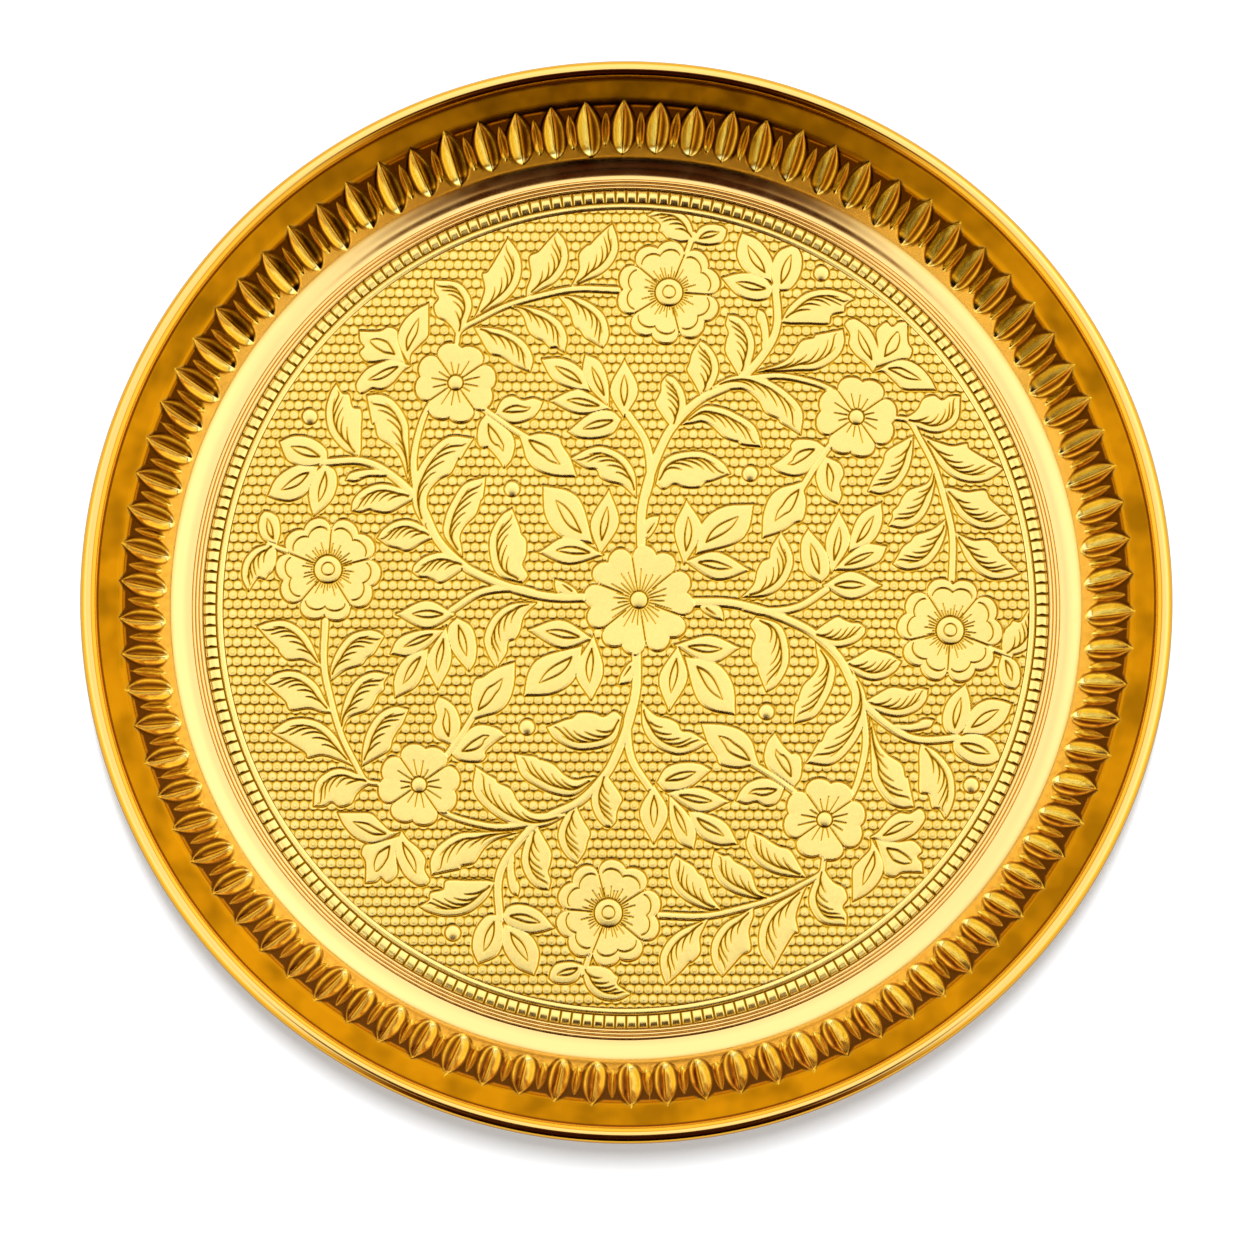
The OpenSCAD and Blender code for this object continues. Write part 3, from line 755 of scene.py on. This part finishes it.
def dish_material(name, low, high, stops, roughness, bumps, mottle=None):
    """Polished brass whose colour, and roughness where it is a list, follow the distance from the
    plate's axis in millimetres; mottle is (darkest share, from radius, to radius)."""
    material, tree, shader = node_material(name)
    coords = tree.nodes.new("ShaderNodeTexCoord")
    split = tree.nodes.new("ShaderNodeSeparateXYZ")
    tree.links.new(coords.outputs["Object"], split.inputs[0])
    square = math_node(tree, "ADD", math_node(tree, "MULTIPLY", split.outputs[0], split.outputs[0]),
                       math_node(tree, "MULTIPLY", split.outputs[1], split.outputs[1]))
    past_low = math_node(tree, "SUBTRACT", math_node(tree, "SQRT", square), low * MM)
    share = math_node(tree, "DIVIDE", past_low, (high - low) * MM)

    def across(places):
        return ramp(tree, share, [((r - low) / (high - low), c) for r, c in places])

    colour = across(stops)
    if mottle:
        deep, inner, outer = mottle
        cloud = ramp(tree, noise_node(tree, coords, CLOUD_SCALE, 2.0),
                     [(0.36, (deep,) * 3), (0.6, (1, 1, 1))])
        where = across([(inner - 0.6, (0,) * 3), (inner, (1,) * 3), (outer, (1,) * 3),
                        (outer + 0.2, (0,) * 3)])
        colour = mix_node(tree, where, colour, mix_node(tree, 1.0, colour, cloud, "MULTIPLY"))
    # Painted highlights where the shine attribute rises, then painted shade where the tone rises
    colour = shaded(tree, shaded(tree, colour, "shine", PAINTED_HIGHLIGHT), "tone", PAINTED_SHADE)
    tree.links.new(colour, shader.inputs["Base Color"])
    if not isinstance(roughness, float):
        roughness = across([(r, (v,) * 3) for r, v in roughness])
    finish_brass(tree, shader, coords, roughness, DISH_GRAIN, bumps)
    return material


def disc_material(name, light, stops, roughness):
    """Stamped brass: pale on top, with painted shade, dark where the tone attribute marks the
    engraved lines and other low places.
    """
    material, tree, shader = node_material(name)
    coords = tree.nodes.new("ShaderNodeTexCoord")
    pale = ramp(tree, noise_node(tree, coords, DRIFT_SCALE, 3.0),
                [(0.3, [c * 0.93 for c in light]), (0.7, light)])
    tree.links.new(shaded(tree, pale, "tone", stops), shader.inputs["Base Color"])
    finish_brass(tree, shader, coords, roughness, DISC_GRAIN, [(DISC_GRAIN, 0.04, 0.0002)])
    return material


# Noise scales: clouds of old polish on the flare, slow drift of the disc's colour, fine grain
CLOUD_SCALE, DRIFT_SCALE, DISH_GRAIN, DISC_GRAIN = 75.0, 22.0, 160.0, 900.0

# Colours of the dish by place, the roll's painted highlight band among them, and the painted
# highlights and painted shade that the shine and tone attributes bring
COVE_GOLD, FOOT_GOLD, WALL_GOLD = (1.0, 0.69, 0.26), (1.0, 0.65, 0.16), (1.0, 0.65, 0.10)
AMBER, ROLL_HIGHLIGHT = (0.56, 0.218, 0.002), (0.92, 0.62, 0.18)
RIM_GOLD, DARK, LINE = (0.86, 0.43, 0.03), (0.16, 0.055, 0.002), (0.42, 0.19, 0.010)
PAINTED_HIGHLIGHT = [(0.4, (1.0, 0.72, 0.06)), (0.9, (1.0, 0.97, 0.46))]
PAINTED_SHADE = [(0.45, (0.46, 0.21, 0.014)), (0.8, (0.17, 0.06, 0.002)), (1.0, (0.10, 0.035, 0.001))]
# Painted shade that the tone attribute brings to the disc
DISC_PAINTED_SHADE = [(0.3, (0.76, 0.44, 0.03)), (0.6, (0.42, 0.205, 0.008)), (0.9, (0.11, 0.042, 0.001))]
DISC_GOLD = (1.0, 0.77, 0.245)

# Down the list: the cove, painted paler as a highlight, the wall, the flare, a line of painted
# shade under the roll, and the roll's bands of painted reflection: a thin dark line, a pale
# highlight band and a dark outer edge
DISH_STOPS = [
    (122, COVE_GOLD), (128.0, COVE_GOLD),
    (129.5, FOOT_GOLD), (131.0, FOOT_GOLD), (134.0, WALL_GOLD), (138.8, WALL_GOLD),
    (139.6, AMBER), (147.3, AMBER),
    (147.55, DARK),
    (147.85, RIM_GOLD), (149.0, RIM_GOLD), (149.2, AMBER), (149.45, ROLL_HIGHLIGHT), (150.9, ROLL_HIGHLIGHT),
    (151.3, RIM_GOLD), (152.0, RIM_GOLD), (152.3, LINE), (152.5, DARK)]
DISH_ROUGHNESS = [
    (122, 0.1), (125.5, 0.12), (127.5, 0.18), (130.5, 0.18), (132.5, 0.13), (141, 0.13),
    (143, 0.38), (147.2, 0.38), (147.6, 0.1), (153, 0.1)]
MOTTLE = (0.6, 142.0, 147.2)     # on the flare alone
WAVES = [(26.0, 0.16, 0.0012), (90.0, 0.05, 0.0004)]

# Painted shade: the beaded ring is dark between its beads
RING_STOPS = [(RING_LIP, LINE)]
for mid in BEAD_MIDS:
    RING_STOPS += [(mid - 0.32, COVE_GOLD), (mid + 0.32, COVE_GOLD), (mid + BEAD_R + LAND / 2, LINE)]

dish_brass = dish_material("dish_polished", 122, 153, DISH_STOPS, DISH_ROUGHNESS, WAVES, MOTTLE)
ring_brass = dish_material("ring_polished", 120, 124, RING_STOPS, 0.14, [(90.0, 0.08, 0.0004)])
disc_brass = disc_material("disc_stamped", DISC_GOLD, DISC_PAINTED_SHADE, 0.25)
wire_brass = dish_material("wire_drawn", 140, 153, [(140, WALL_GOLD), (152, WALL_GOLD)], 0.3,
                           [(400.0, 0.1, 0.0002)])

# ---- Pieces ----
dish = build_dish(dish_brass)
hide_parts("dish_shell")
field = build_field(disc_brass)
border = build_border(disc_brass)
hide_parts("embossed_medallion")
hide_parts("embossed_medallion")
moulding = build_moulding(ring_brass)
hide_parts("floor_moulding")
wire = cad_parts["rim_wire"]
wire.data.materials.clear()
wire.data.materials.append(wire_brass)

# ---- Floor, light and camera ----
FLOOR_COLOUR, FLOOR_GLOW, FLOOR_HALF = (0.84, 0.86, 0.88, 1), 0.25, 3.0     # half its side, in metres


def build_floor():
    """White paper that keeps the plate's shadow; only the camera sees its slight glow."""
    material, tree, shader = node_material("floor_paper")
    out = shader.outputs[0].links[0].to_node
    shader.inputs["Base Color"].default_value = FLOOR_COLOUR
    shader.inputs["Roughness"].default_value = 0.9
    glow = tree.nodes.new("ShaderNodeEmission")
    glow.inputs["Color"].default_value = (1, 1, 1, 1)
    glow.inputs["Strength"].default_value = FLOOR_GLOW
    path = tree.nodes.new("ShaderNodeLightPath")
    both = tree.nodes.new("ShaderNodeAddShader")
    seen = tree.nodes.new("ShaderNodeMixShader")
    tree.links.new(shader.outputs[0], both.inputs[0])
    tree.links.new(glow.outputs[0], both.inputs[1])
    tree.links.new(path.outputs["Is Camera Ray"], seen.inputs[0])
    tree.links.new(shader.outputs[0], seen.inputs[1])
    tree.links.new(both.outputs[0], seen.inputs[2])
    tree.links.new(seen.outputs[0], out.inputs[0])
    mesh = bpy.data.meshes.new("floor")
    corners = [(x * FLOOR_HALF, y * FLOOR_HALF, 0) for x, y in ((-1, -1), (1, -1), (1, 1), (-1, 1))]
    mesh.from_pydata(corners, [], [(0, 1, 2, 3)])
    mesh.materials.append(material)
    floor = bpy.data.objects.new("floor", mesh)
    bpy.context.scene.collection.objects.link(floor)


def sky_patch(tree, direction, azimuth, elevation, inner, outer):
    """1 within inner degrees of a direction of the sky, falling softly to 0 at outer."""
    e, a = math.radians(elevation), math.radians(azimuth)
    dot = tree.nodes.new("ShaderNodeVectorMath")
    dot.operation = "DOT_PRODUCT"
    dot.inputs[1].default_value = (math.cos(e) * math.cos(a), math.cos(e) * math.sin(a), math.sin(e))
    tree.links.new(direction, dot.inputs[0])
    soft = tree.nodes.new("ShaderNodeMapRange")
    soft.interpolation_type = "SMOOTHSTEP"
    soft.inputs["From Min"].default_value = math.cos(math.radians(outer))
    soft.inputs["From Max"].default_value = math.cos(math.radians(inner))
    tree.links.new(dot.outputs["Value"], soft.inputs["Value"])
    return soft.outputs[0]


# The room: azimuth and elevation of a patch, its inner and outer radius, and how much it adds
PATCHES = [
    (8, 20, 22, 60, 0.50),       # large soft box to the right
    (188, 20, 20, 55, 0.45),     # a smaller one to the left
    (90, 25, 20, 60, 0.40),      # and one beyond the plate
]
# The unlit side, where the camera stands, up to the camera itself
DARK_PATCHES = [
    (-90, 0, 22, 44, 0.97),
    (-90, 34, 20, 36, 0.97),
    (-91, 70, 13.5, 20.0, 0.97),
]
# The sky's level by the height of a direction, 0 at the horizon and 1 overhead
SKY = [(0.0, 0.50), (0.06, 0.60), (0.2, 0.88), (0.4, 0.97), (0.75, 0.97), (0.92, 1.10), (1.0, 1.22)]
WARMTH = (0.9, 1.3, 1.8)         # powers of the level for red, green and blue
ROOM_LEVEL = 0.36                # what the floor gets from the room


def build_world():
    """A pale room with soft boxes round it and a dark side where the camera stands. Its shade
    warms as it darkens, as in a room of brass and wood; the floor gets plain white light, and
    the camera sees white behind the floor."""
    world = bpy.data.worlds.new("studio")
    bpy.context.scene.world = world
    world.use_nodes = True
    tree = world.node_tree
    tree.nodes.clear()
    out = tree.nodes.new("ShaderNodeOutputWorld")
    coords = tree.nodes.new("ShaderNodeTexCoord")
    direction = coords.outputs["Generated"]
    split = tree.nodes.new("ShaderNodeSeparateXYZ")
    tree.links.new(direction, split.inputs[0])
    level = ramp(tree, split.outputs[2], [(z, (v,) * 3) for z, v in SKY])
    grey = tree.nodes.new("ShaderNodeRGBToBW")
    tree.links.new(level, grey.inputs[0])
    level = grey.outputs[0]
    for *place, amount in PATCHES:
        lit = math_node(tree, "MULTIPLY", sky_patch(tree, direction, *place), amount)
        level = math_node(tree, "ADD", level, lit)
    for *place, amount in DARK_PATCHES:
        shade = math_node(tree, "MULTIPLY", sky_patch(tree, direction, *place), amount)
        level = math_node(tree, "MULTIPLY", level, math_node(tree, "SUBTRACT", 1.0, shade))
    shade = math_node(tree, "MINIMUM", level, 1.0)
    warm = tree.nodes.new("ShaderNodeCombineXYZ")
    for i, power in enumerate(WARMTH):
        tree.links.new(math_node(tree, "POWER", shade, power), warm.inputs[i])
    seen = tree.nodes.new("ShaderNodeBackground")
    tree.links.new(warm.outputs[0], seen.inputs["Color"])
    tree.links.new(math_node(tree, "MAXIMUM", level, 1.0), seen.inputs["Strength"])
    plain = tree.nodes.new("ShaderNodeBackground")
    plain.inputs["Strength"].default_value = ROOM_LEVEL
    plain.inputs["Color"].default_value = (1, 1, 1, 1)
    path = tree.nodes.new("ShaderNodeLightPath")
    pick = tree.nodes.new("ShaderNodeMixShader")
    tree.links.new(path.outputs["Is Diffuse Ray"], pick.inputs[0])
    tree.links.new(seen.outputs[0], pick.inputs[1])
    tree.links.new(plain.outputs[0], pick.inputs[2])
    white = tree.nodes.new("ShaderNodeBackground")
    white.inputs["Color"].default_value = (1, 1, 1, 1)
    shown = tree.nodes.new("ShaderNodeMixShader")
    tree.links.new(path.outputs["Is Camera Ray"], shown.inputs[0])
    tree.links.new(pick.outputs[0], shown.inputs[1])
    tree.links.new(white.outputs[0], shown.inputs[2])
    tree.links.new(shown.outputs[0], out.inputs[0])


def add_softbox(name, place, aim, width, depth, watts):
    """A rectangular lamp, in metres and watts, that metal doesn't mirror."""
    light = bpy.data.lights.new(name, "AREA")
    light.shape = "RECTANGLE"
    light.size, light.size_y = width, depth
    light.energy = watts
    lamp = bpy.data.objects.new(name, light)
    lamp.visible_glossy = False
    lamp.location = place
    lamp.rotation_mode = "QUATERNION"
    lamp.rotation_quaternion = (Vector(aim) - Vector(place)).to_track_quat("-Z", "Y")
    bpy.context.scene.collection.objects.link(lamp)


def build_camera():
    """The camera that was fitted to the photograph's rim and floor rings."""
    lens, distance, elevation, azimuth = 131.58, 1.300, 82.611, -92.734
    look = Vector((0.21, -6.41, GROUND_Z)) * MM
    e, a = math.radians(elevation), math.radians(azimuth)
    back = Vector((math.cos(e) * math.cos(a), math.cos(e) * math.sin(a), math.sin(e)))
    place = look + distance * back
    data = bpy.data.cameras.new("camera")
    data.lens = lens
    data.sensor_width = 36.0
    data.clip_start, data.clip_end = 0.05, 20.0
    camera = bpy.data.objects.new("camera", data)
    ahead = (look - place).normalized()
    right = ahead.cross(Vector((0, 1, 0))).normalized()
    up = right.cross(ahead)
    camera.matrix_world = Matrix((
        (right.x, up.x, -ahead.x, place.x),
        (right.y, up.y, -ahead.y, place.y),
        (right.z, up.z, -ahead.z, place.z),
        (0, 0, 0, 1)))
    bpy.context.scene.collection.objects.link(camera)
    bpy.context.scene.camera = camera


build_floor()
build_world()
add_softbox("overhead", place=(0.0, 0.55, 3.0), aim=(0, 0, 0), width=0.25, depth=1.0, watts=80.0)
build_camera()
bpy.context.scene.view_settings.view_transform = "Standard"
